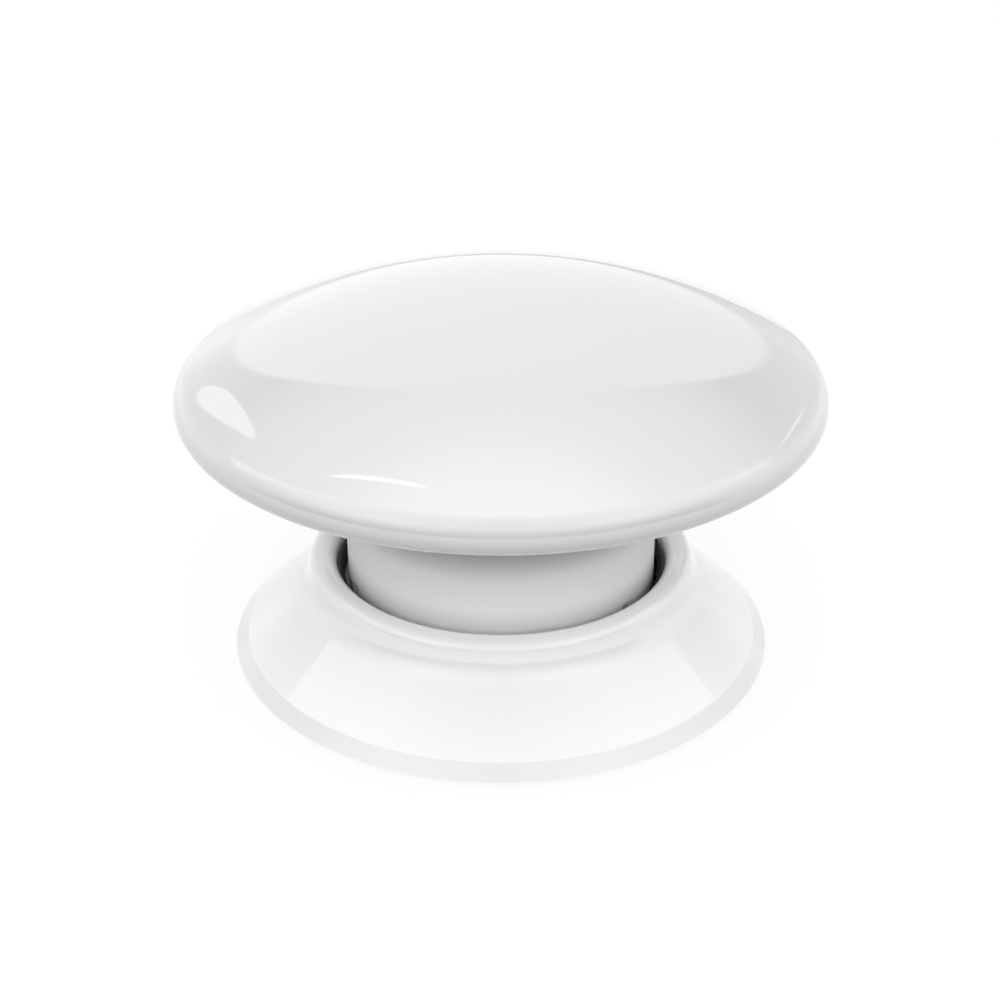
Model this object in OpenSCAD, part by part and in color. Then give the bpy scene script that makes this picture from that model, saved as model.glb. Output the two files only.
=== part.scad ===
// Wireless push button: a lens-shaped cap on a neck that slides, sprung, in a flared base

/* [Cap] */
// Diameter of the cap
cap_d = 46; // [42:0.5:56]
// Height of the crown above the table
crown_z = 27.3; // [25:0.1:36]
// Radius of the dome's long curve
dome_r = 47; // [42:0.5:60]
// Rounding between the dome and the edge
shoulder_r = 1.8; // [1:0.1:2.4]
// Rounding between the edge and the underside
edge_r = 1.25; // [0.8:0.05:1.8]
// Wall of the dome and of the pan below it
shell_t = 1.5; // [1:0.1:2]

/* [Neck] */
// Diameter of the neck
neck_d = 22.6; // [22:0.1:26]
// Wall of the neck
neck_t = 1.2; // [0.9:0.1:1.4]
// Open gap between the neck and the collar
neck_gap = 0.8; // [0.6:0.1:1.4]
// Rounding where the neck meets the underside of the cap
neck_fillet = 1.2; // [0.6:0.1:2]
// Travel of the button
travel = 1.5; // [0.8:0.1:2]
// Width of each catch on the neck's lower end, in degrees
catch_angle = 36; // [20:1:60]
// Reach of each catch beyond the neck
catch_reach = 0.9; // [0.6:0.1:1]

/* [Base] */
// Diameter of the base at its foot
base_d = 39.6; // [38:0.2:50]
// Height of the collar's lip above the table
lip_z = 7.5; // [7:0.1:9]
// Rounding of the lip
lip_r = 1; // [0.8:0.1:1.4]
// Hollow rounding between the cone of the base and the collar
flare_r = 3; // [2:0.1:4]
// Lean of the collar's outer side, in degrees
collar_lean = 5; // [0:1:20]
// Height of the bevelled rim
rim_h = 0.95; // [0.6:0.05:1.5]
// Inset of the bevelled rim
rim_bevel = 0.9; // [0.5:0.05:1.5]
// Wall of the flared base
base_t = 1.2; // [0.9:0.1:1.6]
// Thickness of the base's floor
floor_t = 1.6; // [1.4:0.1:2.2]
// Thickness of the foam pad
pad_t = 1; // [0.6:0.1:1.2]
// Height that the pad stands proud of the floor
pad_proud = 0.3; // [0.2:0.1:0.5]

/* [Spring] */
// Diameter of the spring's wire
wire_d = 0.7; // [0.5:0.05:0.9]
// Outer diameter of the return spring
spring_d = 13; // [11:0.5:15]
// Rise of the spring in each turn
spring_pitch = 1.6; // [1.4:0.1:2]

/* [Electronics] */
// Diameter of the coin cell
cell_d = 20; // [16:0.5:20]
// Thickness of the coin cell
cell_h = 3.2; // [2:0.1:3.2]
// Thickness of the circuit board
board_t = 1; // [0.8:0.1:1.6]
// Width of the push switch
switch_w = 6; // [4.5:0.1:6.2]
// Height of the push switch's body
switch_h = 3.4; // [2.5:0.1:3.8]
// Travel of the switch's plunger
stem_travel = 0.3; // [0.2:0.05:0.4]

/* [Hidden] */
$fn = 96;

// Clearances
fit_gap = 0.1;
slide_gap = 0.05;
stop_gap = 0.05;
cell_gap = 0.25;
cut = 1;
far = 100;
thirds = [0, 120, 240];
catch_turns = [60, 180, 300];

// Cap: the dome's curve runs into the shoulder's, which ends level at the widest ring
cap_r = cap_d / 2;
dome_cz = crown_z - dome_r;
equator_z = dome_cz + sqrt(pow(dome_r - shoulder_r, 2) - pow(cap_r - shoulder_r, 2));
shoulder_c = [cap_r - shoulder_r, equator_z];
edge_c = [cap_r - edge_r, equator_z];
shoulder_angle = atan2(equator_z - dome_cz, shoulder_c.x);
brim_z = equator_z - edge_r;
skirt_w = 2;
skirt_r = cap_r - skirt_w;
pan_r = skirt_r - fit_gap;
pan_rim_w = 1.4;
ledge_rise = 0.2;
ledge_z = equator_z + ledge_rise;
bead_r = 0.3;
bead_drop = 0.55;
bead_out = 0.2;
bead_z = equator_z - bead_drop;
bead_c = skirt_r + bead_r - bead_out;

// Coin cell and board, stacked down from the inside of the dome
cell_r = cell_d / 2;
holder_gap = 0.2;
holder_t = 0.7;
holder_r = cell_r + holder_gap + holder_t;
holder_h = 2.2;
holder_foot_h = 0.4;
holder_lap = 1;
clip_t = 0.3;
clip_w = 4;
clip_foot = 1.2;
clip_room = 0.1;
cell_rise = 0.5;
inner_dome_r = dome_r - shell_t;
clip_top_z = dome_cz + sqrt(pow(inner_dome_r, 2) - pow(holder_r + clip_room, 2)) - cell_gap;
cell_top_z = clip_top_z - clip_t;
cell_z = cell_top_z - cell_h;
board_top_z = cell_z - cell_rise;
board_z = board_top_z - board_t;

// Board's screws and the bosses that carry the board
screw_r = 0.75;
screw_head_r = 1.3;
screw_head_h = 0.75;
screw_slot_w = 0.3;
board_screw_len = 2.6;
boss_wall = 0.7;
boss_r = screw_r + boss_wall;
boss_h = 1;
screw_lane = 1;
boss_ring_r = holder_r + screw_head_r + screw_lane;
board_margin = 2;
board_r = boss_ring_r + board_margin;

// Pan: a cone that falls from the brim to the neck, low enough for the bosses
pan_low_z = board_z - boss_h - shell_t;
pan_tan = (brim_z - pan_low_z) / (pan_r - boss_ring_r);
pan_angle = atan(pan_tan);
neck_r = neck_d / 2;
neck_bore_r = neck_r - neck_t;
fillet_r = neck_r + neck_fillet;
fillet_z = pan_z(fillet_r) - neck_fillet / cos(pan_angle);

// Base: rim, cone, hollow rounding and lip
base_r = base_d / 2;
foot_z = pad_proud;
floor_z = foot_z + floor_t;
collar_r = neck_r + neck_gap;
lip_c = [collar_r + lip_r, lip_z - lip_r];
flare_c = lip_c + (lip_r + flare_r) * [cos(collar_lean), sin(collar_lean)];
rim_p = [base_r - rim_bevel, foot_z + rim_h];
rim_to_flare = flare_c - rim_p;
rim_reach = norm(rim_to_flare);
cone_angle = atan2(rim_to_flare.y, rim_to_flare.x) + asin(flare_r / rim_reach);
cone_len = sqrt(pow(rim_reach, 2) - pow(flare_r, 2));
cone_dir = [cos(cone_angle), sin(cone_angle)];
cone_out = [sin(cone_angle), -cos(cone_angle)];
cone_top = rim_p + cone_len * cone_dir;
cone_slope = tan(cone_angle);
inner_low = rim_p - base_t * cone_out;
inner_top = cone_top - base_t * cone_out;

// Stack of stops in the base, up from the floor
bumper_t = 0.5;
bumper_lap = 0.6;
neck_z = floor_z + bumper_t + stop_gap + travel;
catch_h = 1;
catch_r = neck_r + catch_reach;
ring_z = neck_z + catch_h + stop_gap;
ring_h = 1.2;
ring_top_z = ring_z + ring_h;
ring_gap = 0.3;
ring_lap = 0.6;
ring_bore_r = neck_r + ring_gap;
ring_r = catch_r + ring_lap;
seat_r = ring_r + slide_gap;
seat_wall = 0.8;
slit_w = 0.9;
slit_lead = 4;
slit_turn = catch_angle / 2 + slit_lead;
slit_rise = 0.3;
slit_top_z = ring_top_z + slit_rise;
key_w = slit_w - 2 * fit_gap;
key_reach = 0.9;
key_gap = 0.2;
key_top_z = slit_top_z - travel - key_gap;

// Floor of the base, its pad and its screws
plate_gap = 0.1;
flange_t = 0.8;
flange_r = cone_inner_r(foot_z + flange_t);
plate_r = cone_inner_r(floor_z);
pad_sink = pad_t - pad_proud;
base_screw_len = 2.6;
base_screw_seat = 0.8;
base_screw_ring_r = seat_r + seat_wall + screw_r;
base_boss_r = screw_r + boss_wall;
pad_margin = 1.1;
pad_r = base_screw_ring_r - screw_head_r - pad_margin;

// Switch, its plunger, and the seat of the spring
cover_t = 0.3;
cover_z = board_z - switch_h - cover_t;
stem_r = 1.7;
stem_out = 0.8;
stem_z = cover_z - stem_out;
stem_in = 1.4;
web_t = 1.2;
web_gap = 0.5;
web_z = stem_z - web_gap - web_t;
web_hole_r = 2.6;
spring_collar_h = 0.8;
sleeve_r = neck_bore_r - slide_gap;
sleeve_t = 1.3;
sleeve_gap = 0.3;
sleeve_top_z = web_z - travel - sleeve_gap;
post_r = 1.8;
post_top_z = stem_z - (travel - stem_travel) - stop_gap;
post_rib_t = 0.8;
post_rib_r = 3.6;
post_rib_h = 5;

// Return spring, from the floor to the web inside the neck
spring_r = (spring_d - wire_d) / 2;
spring_z = floor_z + wire_d / 2;
spring_rise = web_z - wire_d / 2 - spring_z;
rings_per_turn = 8;
wire_sides = 6;
spring_chord_r = spring_r * cos(180 / rings_per_turn);
spring_turns = spring_rise / spring_pitch;
spring_rings = round(spring_turns * rings_per_turn);

// Small parts on the board
module_w = 7.4;
module_l = 5.4;
module_t = 0.8;
can_inset = 0.4;
can_h = 1.2;
part_gap = 0.6;
module_y = switch_w / 2 + part_gap;
chip_w = 5;
chip_t = 0.9;
chip_gap = 1.6;
chip_x = switch_w / 2 + chip_gap;
crystal_w = 3.2;
crystal_l = 2.5;
crystal_t = 0.7;
lead_w = 0.7;
lead_l = 1.2;
lead_t = 0.15;
lead_pitch = 4.5;
antenna_arc = 100;
antenna_start = 130;
antenna_h = 1.6;
antenna_t = 0.4;
antenna_edge = 0.6;
antenna_r = board_r - antenna_edge;
led_l = 1.6;
led_w = 1.2;
led_h = 0.5;
led_lens_r = 0.45;
led_angle = 270;
capacitor_l = 1.6;
capacitor_w = 0.8;
capacitor_h = 0.8;
capacitor_angles = [20, 32, 82, 94, 262, 280];
resistor_l = 1;
resistor_w = 0.5;
resistor_h = 0.35;
resistor_angles = [44, 52, 60, 68, 290, 298];
parts_ring_r = (holder_r + board_r) / 2;

// Height of the pan's outer face at a radius
function pan_z(r) = brim_z - (pan_r - r) * pan_tan;

// Radius of the inner face of the base's cone at a height
function cone_inner_r(z) = inner_low.x + (z - inner_low.y) / cone_slope;

// Point of a circle at an angle
function on_circle(c, r, a) = c + r * [cos(a), sin(a)];

// Slice of a disc between two angles less than 180 degrees apart
module pie(c, r, from, to) {
    reach = 2 * r;
    intersection() {
        translate(c) circle(r);
        polygon([c, on_circle(c, reach, from), on_circle(c, reach, (from + to) / 2), on_circle(c, reach, to)]);
    }
}

// Half section of the dome down to its brim, as one solid
module dome_section() {
    shoulder_out = on_circle(shoulder_c, 2 * shoulder_r, shoulder_angle);
    intersection() {
        translate([0, dome_cz]) circle(dome_r, $fn = 360);
        polygon([[0, equator_z], shoulder_c, shoulder_out, [shoulder_out.x, crown_z + cut], [0, crown_z + cut]]);
    }
    pie(shoulder_c, shoulder_r, 0, shoulder_angle);
    pie(edge_c, edge_r, -90, 0);
    translate([0, brim_z]) square([edge_c.x, edge_r]);
}

// Top shell of the cap, with the ledge that rests on the pan and a bead that snaps into it
module cap_dome() {
    color("white") rotate_extrude() {
        difference() {
            dome_section();
            intersection() {
                translate([0, dome_cz]) circle(inner_dome_r, $fn = 360);
                translate([0, brim_z - cut]) square([skirt_r - pan_rim_w - fit_gap, far]);
            }
            translate([0, brim_z - cut]) square([skirt_r, ledge_z - brim_z + cut]);
        }
        intersection() {
            translate([bead_c, bead_z]) circle(bead_r);
            translate([0, brim_z]) square([skirt_r + bead_r, far]);
        }
    }
}

// Half section of the pan, the neck, and the web inside it that seats the spring
module stem_section() {
    fillet_c = [fillet_r, fillet_z];
    cone_end = on_circle(fillet_c, neck_fillet, 90 + pan_angle);
    inner_end_z = pan_z(neck_bore_r) + shell_t;
    difference() {
        polygon([
            [neck_bore_r, neck_z], [neck_r, neck_z], [neck_r, fillet_z], fillet_c, cone_end,
            [pan_r, brim_z], [pan_r, ledge_z - stop_gap], [pan_r - pan_rim_w, ledge_z - stop_gap],
            [pan_r - pan_rim_w, pan_z(pan_r - pan_rim_w) + shell_t], [neck_bore_r, inner_end_z]
        ]);
        translate(fillet_c) circle(neck_fillet);
        translate([bead_c, bead_z]) circle(bead_r + fit_gap);
    }
    translate([web_hole_r, web_z]) square([neck_bore_r - web_hole_r + neck_t / 2, web_t]);
    translate([spring_chord_r - wire_d / 2 - fit_gap - web_t, web_z - spring_collar_h])
        square([web_t, spring_collar_h + web_t / 2]);
}

// Lower shell of the cap with the neck, its three sprung catches and the board's bosses
module stem_shell() {
    color("white") difference() {
        union() {
            rotate_extrude() stem_section();
            for (a = catch_turns) rotate(a - catch_angle / 2) rotate_extrude(angle = catch_angle) polygon([
                [neck_r - neck_t / 2, neck_z], [neck_r + catch_reach / 3, neck_z], [catch_r, neck_z + catch_h / 2],
                [catch_r, neck_z + catch_h], [neck_r - neck_t / 2, neck_z + catch_h]
            ]);
            for (a = thirds) rotate(a) translate([boss_ring_r, 0, pan_low_z + shell_t / 2])
                cylinder(r = boss_r, h = board_z - pan_low_z - shell_t / 2);
        }
        for (a = catch_turns) for (side = [-1, 1]) rotate(a + side * slit_turn)
            translate([neck_bore_r - cut / 2, -slit_w / 2, neck_z - cut])
                cube([neck_t + cut, slit_w, slit_top_z - neck_z + cut]);
        for (a = thirds) rotate(a) translate([boss_ring_r, 0, board_top_z - board_screw_len - fit_gap])
            cylinder(r = screw_r, h = board_screw_len);
    }
}

// Round board with its three screw holes and a locating notch
module circuit_board() {
    notch_r = 1;
    notch_angle = 75;
    color("darkgreen") translate([0, 0, board_z]) difference() {
        cylinder(r = board_r, h = board_t);
        for (a = thirds) rotate(a) translate([boss_ring_r, 0, -cut])
            cylinder(r = screw_r + fit_gap, h = board_t + 2 * cut);
        rotate(notch_angle) translate([board_r, 0, -cut]) cylinder(r = notch_r, h = board_t + 2 * cut);
    }
}

// Cheese-headed screw with its head up, seated at z = 0
module screw(len) {
    tip = screw_r / 2;
    difference() {
        rotate_extrude() polygon([
            [0, -len], [screw_r - tip, -len], [screw_r, tip - len], [screw_r, 0], [screw_head_r, 0],
            [screw_head_r, screw_head_h * 2 / 3], [screw_head_r * 2 / 3, screw_head_h], [0, screw_head_h]
        ]);
        for (a = [0, 90]) rotate(a) translate([-screw_head_r / 2, -screw_slot_w / 2, screw_head_h / 2])
            cube([screw_head_r, screw_slot_w, screw_head_h]);
    }
}

// Three screws that hold the board on its bosses
module board_screws() {
    color("silver") for (a = thirds) rotate(a) translate([boss_ring_r, 0, board_top_z]) screw(board_screw_len);
}

// Cradle of the coin cell: a low ring, open where the clip's legs come down
module cell_holder() {
    color("dimgray") translate([0, 0, board_top_z]) difference() {
        rotate_extrude() polygon([
            [cell_r - holder_lap, 0], [holder_r, 0], [holder_r, holder_h], [cell_r + holder_gap, holder_h],
            [cell_r + holder_gap, holder_foot_h], [cell_r - holder_lap, holder_foot_h]
        ]);
        translate([-far / 2, -clip_w / 2 - holder_gap, -cut])
            cube([far, clip_w + 2 * holder_gap, holder_h + 2 * cut]);
    }
}

// Coin cell: can with its rolled edge, and the smaller pole below
module coin_cell() {
    roll = 0.4;
    pole_inset = 1.3;
    pole_h = 0.3;
    color("silver") rotate_extrude() {
        translate([0, cell_z]) square([cell_r - pole_inset, cell_h / 2]);
        translate([0, cell_z + pole_h]) square([cell_r - roll, cell_h - pole_h]);
        translate([0, cell_z + pole_h + roll]) square([cell_r, cell_h - pole_h - 2 * roll]);
        translate([cell_r - roll, cell_z + pole_h + roll]) circle(roll);
        translate([cell_r - roll, cell_top_z - roll]) circle(roll);
    }
}

// Spring clip that bridges the cell and stands on the board
module contact_positive() {
    leg_x = cell_r + holder_gap;
    out_x = leg_x + clip_t;
    foot_x = out_x + clip_foot;
    color("gold") rotate([90, 0, 0]) translate([0, 0, -clip_w / 2]) linear_extrude(clip_w) difference() {
        polygon([
            [-foot_x, board_top_z], [foot_x, board_top_z], [foot_x, board_top_z + clip_t],
            [out_x, board_top_z + clip_t], [out_x, clip_top_z], [-out_x, clip_top_z],
            [-out_x, board_top_z + clip_t], [-foot_x, board_top_z + clip_t]
        ]);
        translate([-leg_x, board_top_z - cut]) square([2 * leg_x, cell_top_z - board_top_z + cut]);
    }
}

// Leaf that arches up from the board to the cell's lower pole
module contact_negative() {
    leaf_t = 0.2;
    leaf_w = 3;
    leaf_x = 7;
    foot_l = 1.5;
    crest_l = 1.5;
    color("gold") rotate([90, 0, 0]) translate([0, 0, -leaf_w / 2]) linear_extrude(leaf_w) polygon([
        [-leaf_x, board_top_z], [foot_l - leaf_x, board_top_z], [-crest_l, cell_z - leaf_t],
        [crest_l, cell_z - leaf_t], [leaf_x - foot_l, board_top_z], [leaf_x, board_top_z],
        [leaf_x, board_top_z + leaf_t], [leaf_x - foot_l, board_top_z + leaf_t], [crest_l, cell_z],
        [-crest_l, cell_z], [foot_l - leaf_x, board_top_z + leaf_t], [-leaf_x, board_top_z + leaf_t]
    ]);
}

// Radio on its own small board, under a drawn shield can
module radio_module() {
    can_r = 0.6;
    can_w = module_w - 2 * can_inset;
    can_l = module_l - 2 * can_inset;
    color("lightgray") translate([-module_w / 2, module_y, board_z - module_t]) {
        cube([module_w, module_l, module_t]);
        translate([can_inset, can_inset, -can_h]) {
            translate([can_r, 0, 0]) cube([can_w - 2 * can_r, can_l, can_h]);
            translate([0, can_r, 0]) cube([can_w, can_l - 2 * can_r, can_h]);
            for (x = [can_r, can_w - can_r]) for (y = [can_r, can_l - can_r])
                translate([x, y, 0]) cylinder(r = can_r, h = can_h);
        }
    }
}

// Square chip with a dimple at its first corner
module microcontroller() {
    dimple_r = 0.4;
    dimple_in = 0.9;
    color("black") translate([-chip_x - chip_w, -chip_w / 2, board_z - chip_t]) difference() {
        cube([chip_w, chip_w, chip_t]);
        translate([dimple_in, dimple_in, -cut]) cylinder(r = dimple_r, h = cut + chip_t / 5);
    }
}

// Quartz crystal in its can, with a lid
module crystal() {
    lid_in = 0.25;
    lid_t = 0.15;
    color("silver") translate([chip_x, -crystal_l / 2, board_z - crystal_t]) {
        translate([0, 0, lid_t]) cube([crystal_w, crystal_l, crystal_t - lid_t]);
        translate([lid_in, lid_in, 0]) cube([crystal_w - 2 * lid_in, crystal_l - 2 * lid_in, crystal_t]);
    }
}

// Strip antenna on edge along the board's rim, with a foot at its feed
module antenna() {
    foot_w = 1.2;
    color("gold") translate([0, 0, board_top_z]) rotate(antenna_start) {
        rotate_extrude(angle = antenna_arc) translate([antenna_r - antenna_t, 0]) square([antenna_t, antenna_h]);
        translate([antenna_r - antenna_t - foot_w, 0, 0]) cube([foot_w + antenna_t / 2, foot_w, antenna_t]);
    }
}

// Status light with its round lens
module status_led() {
    color("ivory") rotate(led_angle) translate([parts_ring_r, 0, board_top_z]) {
        translate([-led_l / 2, -led_w / 2, 0]) cube([led_l, led_w, led_h]);
        translate([0, 0, led_h]) cylinder(r = led_lens_r, h = led_h / 2);
    }
}

// Blocks set round the board between the cell and the rim
module ring_of(angles, l, w, h) {
    for (a = angles) rotate(a) translate([parts_ring_r - w / 2, -l / 2, board_top_z]) cube([w, l, h]);
}

// Smoothing capacitors
module capacitors() {
    color("tan") ring_of(capacitor_angles, capacitor_l, capacitor_w, capacitor_h);
}

// Resistors
module resistors() {
    color("black") ring_of(resistor_angles, resistor_l, resistor_w, resistor_h);
}

// Moulded body of the push switch, bored for its plunger
module switch_body() {
    chamfer = 0.8;
    half = switch_w / 2;
    color("dimgray") difference() {
        translate([0, 0, board_z - switch_h]) linear_extrude(switch_h) polygon([
            [chamfer - half, -half], [half - chamfer, -half], [half, chamfer - half], [half, half - chamfer],
            [half - chamfer, half], [chamfer - half, half], [-half, half - chamfer], [-half, chamfer - half]
        ]);
        translate([0, 0, cover_z]) cylinder(r = stem_r + slide_gap, h = cover_t + stem_in + stem_travel + fit_gap);
    }
}

// Steel cover of the push switch, with two ears down its sides
module switch_cover() {
    ear_w = 2;
    ear_h = 1.5;
    color("silver") difference() {
        translate([-switch_w / 2 - cover_t, -switch_w / 2, cover_z])
            cube([switch_w + 2 * cover_t, switch_w, cover_t]);
        translate([0, 0, cover_z - cut]) cylinder(r = stem_r + fit_gap, h = cover_t + 2 * cut);
        for (side = [-1, 1]) for (end = [-1, 1])
            translate([side * (switch_w / 2 + cover_t), end * (switch_w + ear_w) / 4, cover_z + cover_t / 2])
                cube([2 * cover_t, (switch_w - ear_w) / 2, cover_t + cut], center = true);
    }
    color("silver") for (side = [-1, 1])
        translate([side * (switch_w + cover_t) / 2, 0, cover_z + (cover_t + ear_h) / 2])
            cube([cover_t, ear_w, cover_t + ear_h], center = true);
}

// Four flat leads that run from the switch's sides along the board
module switch_leads() {
    color("silver") for (side = [-1, 1]) for (end = [-1, 1])
        translate([side * (switch_w + lead_l) / 2, end * lead_pitch / 2, board_z - lead_t / 2])
            cube([lead_l, lead_w, lead_t], center = true);
}

// Round plunger of the switch, with a rounded tip
module switch_stem() {
    tip = 0.4;
    color("black") rotate_extrude() {
        translate([0, stem_z]) square([stem_r - tip, stem_out + cover_t + stem_in]);
        translate([0, stem_z + tip]) square([stem_r, stem_out + cover_t + stem_in - tip]);
        intersection() {
            translate([stem_r - tip, stem_z + tip]) circle(tip);
            translate([0, stem_z]) square([stem_r, tip]);
        }
    }
}

// Point on the wire's skin: ring i along the helix, corner k round the wire
function wire_mid(i) = [
    spring_r * cos(360 * i / rings_per_turn),
    spring_r * sin(360 * i / rings_per_turn),
    spring_z + spring_rise * i / spring_rings
];
function wire_skin(i, k) = wire_mid(i) + wire_d / 2 * [
    cos(360 * k / wire_sides) * cos(360 * i / rings_per_turn),
    cos(360 * k / wire_sides) * sin(360 * i / rings_per_turn),
    sin(360 * k / wire_sides)
];

// Least gap between neighbouring turns, measured on the helix's points
spring_gap = min([
    for (i = [0 : spring_rings - rings_per_turn])
        for (j = [i + rings_per_turn / 2 : spring_rings]) norm(wire_mid(i) - wire_mid(j))
]) - wire_d;
echo(str("Least gap between the spring's turns: ", spring_gap, " mm"));

// Return spring: one helix of round wire, as a single skin
module return_spring() {
    skin = [for (i = [0 : spring_rings]) for (k = [0 : wire_sides - 1]) wire_skin(i, k)];
    sides = [
        for (i = [0 : spring_rings - 1]) for (k = [0 : wire_sides - 1])
            let (a = i * wire_sides + k, b = i * wire_sides + (k + 1) % wire_sides)
                each [[a, a + wire_sides, b], [b, a + wire_sides, b + wire_sides]]
    ];
    last = spring_rings * wire_sides;
    ends = [for (k = [1 : wire_sides - 2]) each [[0, k, k + 1], [last, last + k + 1, last + k]]];
    color("silver") polyhedron(skin, concat(sides, ends));
}

// Half section of the flared base: rim, cone, hollow rounding, lip and the bore inside it
module base_section() {
    lip_turn = on_circle(lip_c, lip_r, collar_lean);
    difference() {
        polygon([
            [collar_r, foot_z], [base_r, foot_z], rim_p, cone_top, flare_c, lip_turn, lip_c, [collar_r, lip_c.y]
        ]);
        translate(flare_c) circle(flare_r);
    }
    pie(lip_c, lip_r, collar_lean, 90);
    pie(lip_c, lip_r, 90, 180);
}

// Hollow under the cone, which keeps the wall even
module base_hollow_section() {
    wall_r = seat_r + seat_wall;
    wall_z = inner_low.y + (wall_r - inner_low.x) * cone_slope;
    intersection() {
        polygon([[wall_r, foot_z], [plate_r, foot_z], [plate_r, floor_z], [wall_r, wall_z]]);
        translate([0, foot_z]) square([far, inner_top.y - foot_z]);
    }
}

// Flared base with its collar, the retaining ring's seat and three screw bosses
module base_shell() {
    color("white") difference() {
        rotate_extrude() base_section();
        translate([0, 0, foot_z - cut]) cylinder(r = flange_r, h = flange_t + cut);
        translate([0, 0, foot_z]) cylinder(r = plate_r, h = floor_t);
        translate([0, 0, foot_z]) cylinder(r = seat_r, h = ring_top_z - foot_z);
        difference() {
            rotate_extrude() base_hollow_section();
            for (a = thirds) rotate(a) translate([base_screw_ring_r, 0, 0]) cylinder(r = base_boss_r, h = lip_z);
        }
        for (a = thirds) rotate(a) translate([base_screw_ring_r, 0, foot_z])
            cylinder(r = screw_r, h = base_screw_seat + base_screw_len + fit_gap);
    }
}

// Floor of the base, with the guide sleeve, its keys and the ribbed post that works the switch
module base_plate() {
    color("whitesmoke") difference() {
        union() {
            translate([0, 0, foot_z]) cylinder(r = flange_r - plate_gap, h = flange_t);
            translate([0, 0, foot_z]) cylinder(r = plate_r - plate_gap, h = floor_t);
            difference() {
                cylinder(r = sleeve_r, h = sleeve_top_z);
                translate([0, 0, foot_z]) cylinder(r = sleeve_r - sleeve_t, h = sleeve_top_z);
                translate([0, 0, -cut]) cylinder(r = sleeve_r + cut, h = foot_z + floor_t / 2 + cut);
            }
            translate([0, 0, floor_z - floor_t / 2]) cylinder(r = post_r, h = post_top_z - floor_z + floor_t / 2);
            for (a = [0, 90]) rotate(a) translate([-post_rib_r, -post_rib_t / 2, floor_z - floor_t / 2])
                cube([2 * post_rib_r, post_rib_t, post_rib_h]);
            for (a = catch_turns) rotate(a + slit_turn)
                translate([sleeve_r - sleeve_t / 2, -key_w / 2, floor_z - floor_t / 2])
                    cube([sleeve_t / 2 + key_reach, key_w, key_top_z - floor_z + floor_t / 2]);
        }
        translate([0, 0, foot_z - cut]) cylinder(r = pad_r + fit_gap, h = pad_sink + cut);
        for (a = thirds) rotate(a) translate([base_screw_ring_r, 0, 0]) {
            cylinder(r = screw_head_r + fit_gap, h = foot_z + base_screw_seat);
            cylinder(r = screw_r + fit_gap, h = lip_z);
        }
    }
}

// Foam pad under the floor
module foot_pad() {
    color("gainsboro") cylinder(r = pad_r, h = pad_t);
}

// Three screws that come up through the floor into the flared base
module base_screws() {
    color("silver") for (a = thirds) rotate(a) translate([base_screw_ring_r, 0, foot_z + base_screw_seat])
        mirror([0, 0, 1]) screw(base_screw_len);
}

// Ring under the collar that holds back the neck's catches
module retaining_ring() {
    lead = 0.3;
    color("gainsboro") rotate_extrude() polygon([
        [ring_bore_r, ring_z], [ring_r, ring_z], [ring_r, ring_top_z], [ring_bore_r + lead, ring_top_z],
        [ring_bore_r, ring_top_z - lead]
    ]);
}

// Soft ring on the floor that the neck comes down on, notched for the keys
module bumper_ring() {
    color("gray") translate([0, 0, floor_z]) difference() {
        cylinder(r = neck_r + bumper_lap, h = bumper_t);
        translate([0, 0, -cut]) cylinder(r = neck_bore_r + fit_gap, h = bumper_t + 2 * cut);
        for (a = catch_turns) rotate(a + slit_turn) translate([0, -slit_w / 2, -cut])
            cube([sleeve_r + key_reach + fit_gap, slit_w, bumper_t + 2 * cut]);
    }
}

cap_dome();
stem_shell();
circuit_board();
board_screws();
cell_holder();
coin_cell();
contact_positive();
contact_negative();
radio_module();
microcontroller();
crystal();
antenna();
status_led();
capacitors();
resistors();
switch_body();
switch_cover();
switch_leads();
switch_stem();
return_spring();
base_shell();
base_plate();
foot_pad();
base_screws();
retaining_ring();
bumper_ring();
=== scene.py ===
"""Wireless push button: a lens-shaped cap on a neck that slides, sprung, in a flared base."""

import math

import bpy
import numpy as np
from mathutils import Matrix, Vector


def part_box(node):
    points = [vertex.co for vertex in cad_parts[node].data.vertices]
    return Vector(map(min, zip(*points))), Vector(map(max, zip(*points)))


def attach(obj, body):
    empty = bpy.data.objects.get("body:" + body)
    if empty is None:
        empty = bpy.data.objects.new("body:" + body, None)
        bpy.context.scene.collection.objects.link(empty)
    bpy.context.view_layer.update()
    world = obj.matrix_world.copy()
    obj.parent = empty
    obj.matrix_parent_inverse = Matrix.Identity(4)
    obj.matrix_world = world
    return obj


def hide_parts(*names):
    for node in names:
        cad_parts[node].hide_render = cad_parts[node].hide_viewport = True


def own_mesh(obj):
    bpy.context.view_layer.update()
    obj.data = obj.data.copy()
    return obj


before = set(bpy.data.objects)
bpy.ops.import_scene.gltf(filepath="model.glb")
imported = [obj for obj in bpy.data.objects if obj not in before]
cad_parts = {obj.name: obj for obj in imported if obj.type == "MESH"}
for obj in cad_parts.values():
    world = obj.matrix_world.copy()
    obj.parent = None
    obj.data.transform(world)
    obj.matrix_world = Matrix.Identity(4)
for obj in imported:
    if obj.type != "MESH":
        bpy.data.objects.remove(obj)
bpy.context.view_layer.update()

bl_info = {
    "name": "Wireless push button",
    "version": (1, 0, 0),
    "blender": (4, 5, 0),
    "location": "View3D > Sidebar > Button",
    "description": "Dresses the packed solids of a sprung push button and sets its studio",
    "category": "Object",
}

MM = 0.001
SAME = 1e-9  # lengths that differ by less are the same
COLUMNS = 240
BOSS_COLUMNS = 48
SHARP_ANGLE = math.radians(35)
THIRDS = (0, 120, 240)
CATCH_TURNS = (60, 180, 300)


def low(solid, axis=2):
    """Least coordinate of a solid along an axis: its height unless another is named."""
    return float(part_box(solid)[0][axis])


def high(solid, axis=2):
    """Greatest coordinate of a solid along an axis: its height unless another is named."""
    return float(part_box(solid)[1][axis])


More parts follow.
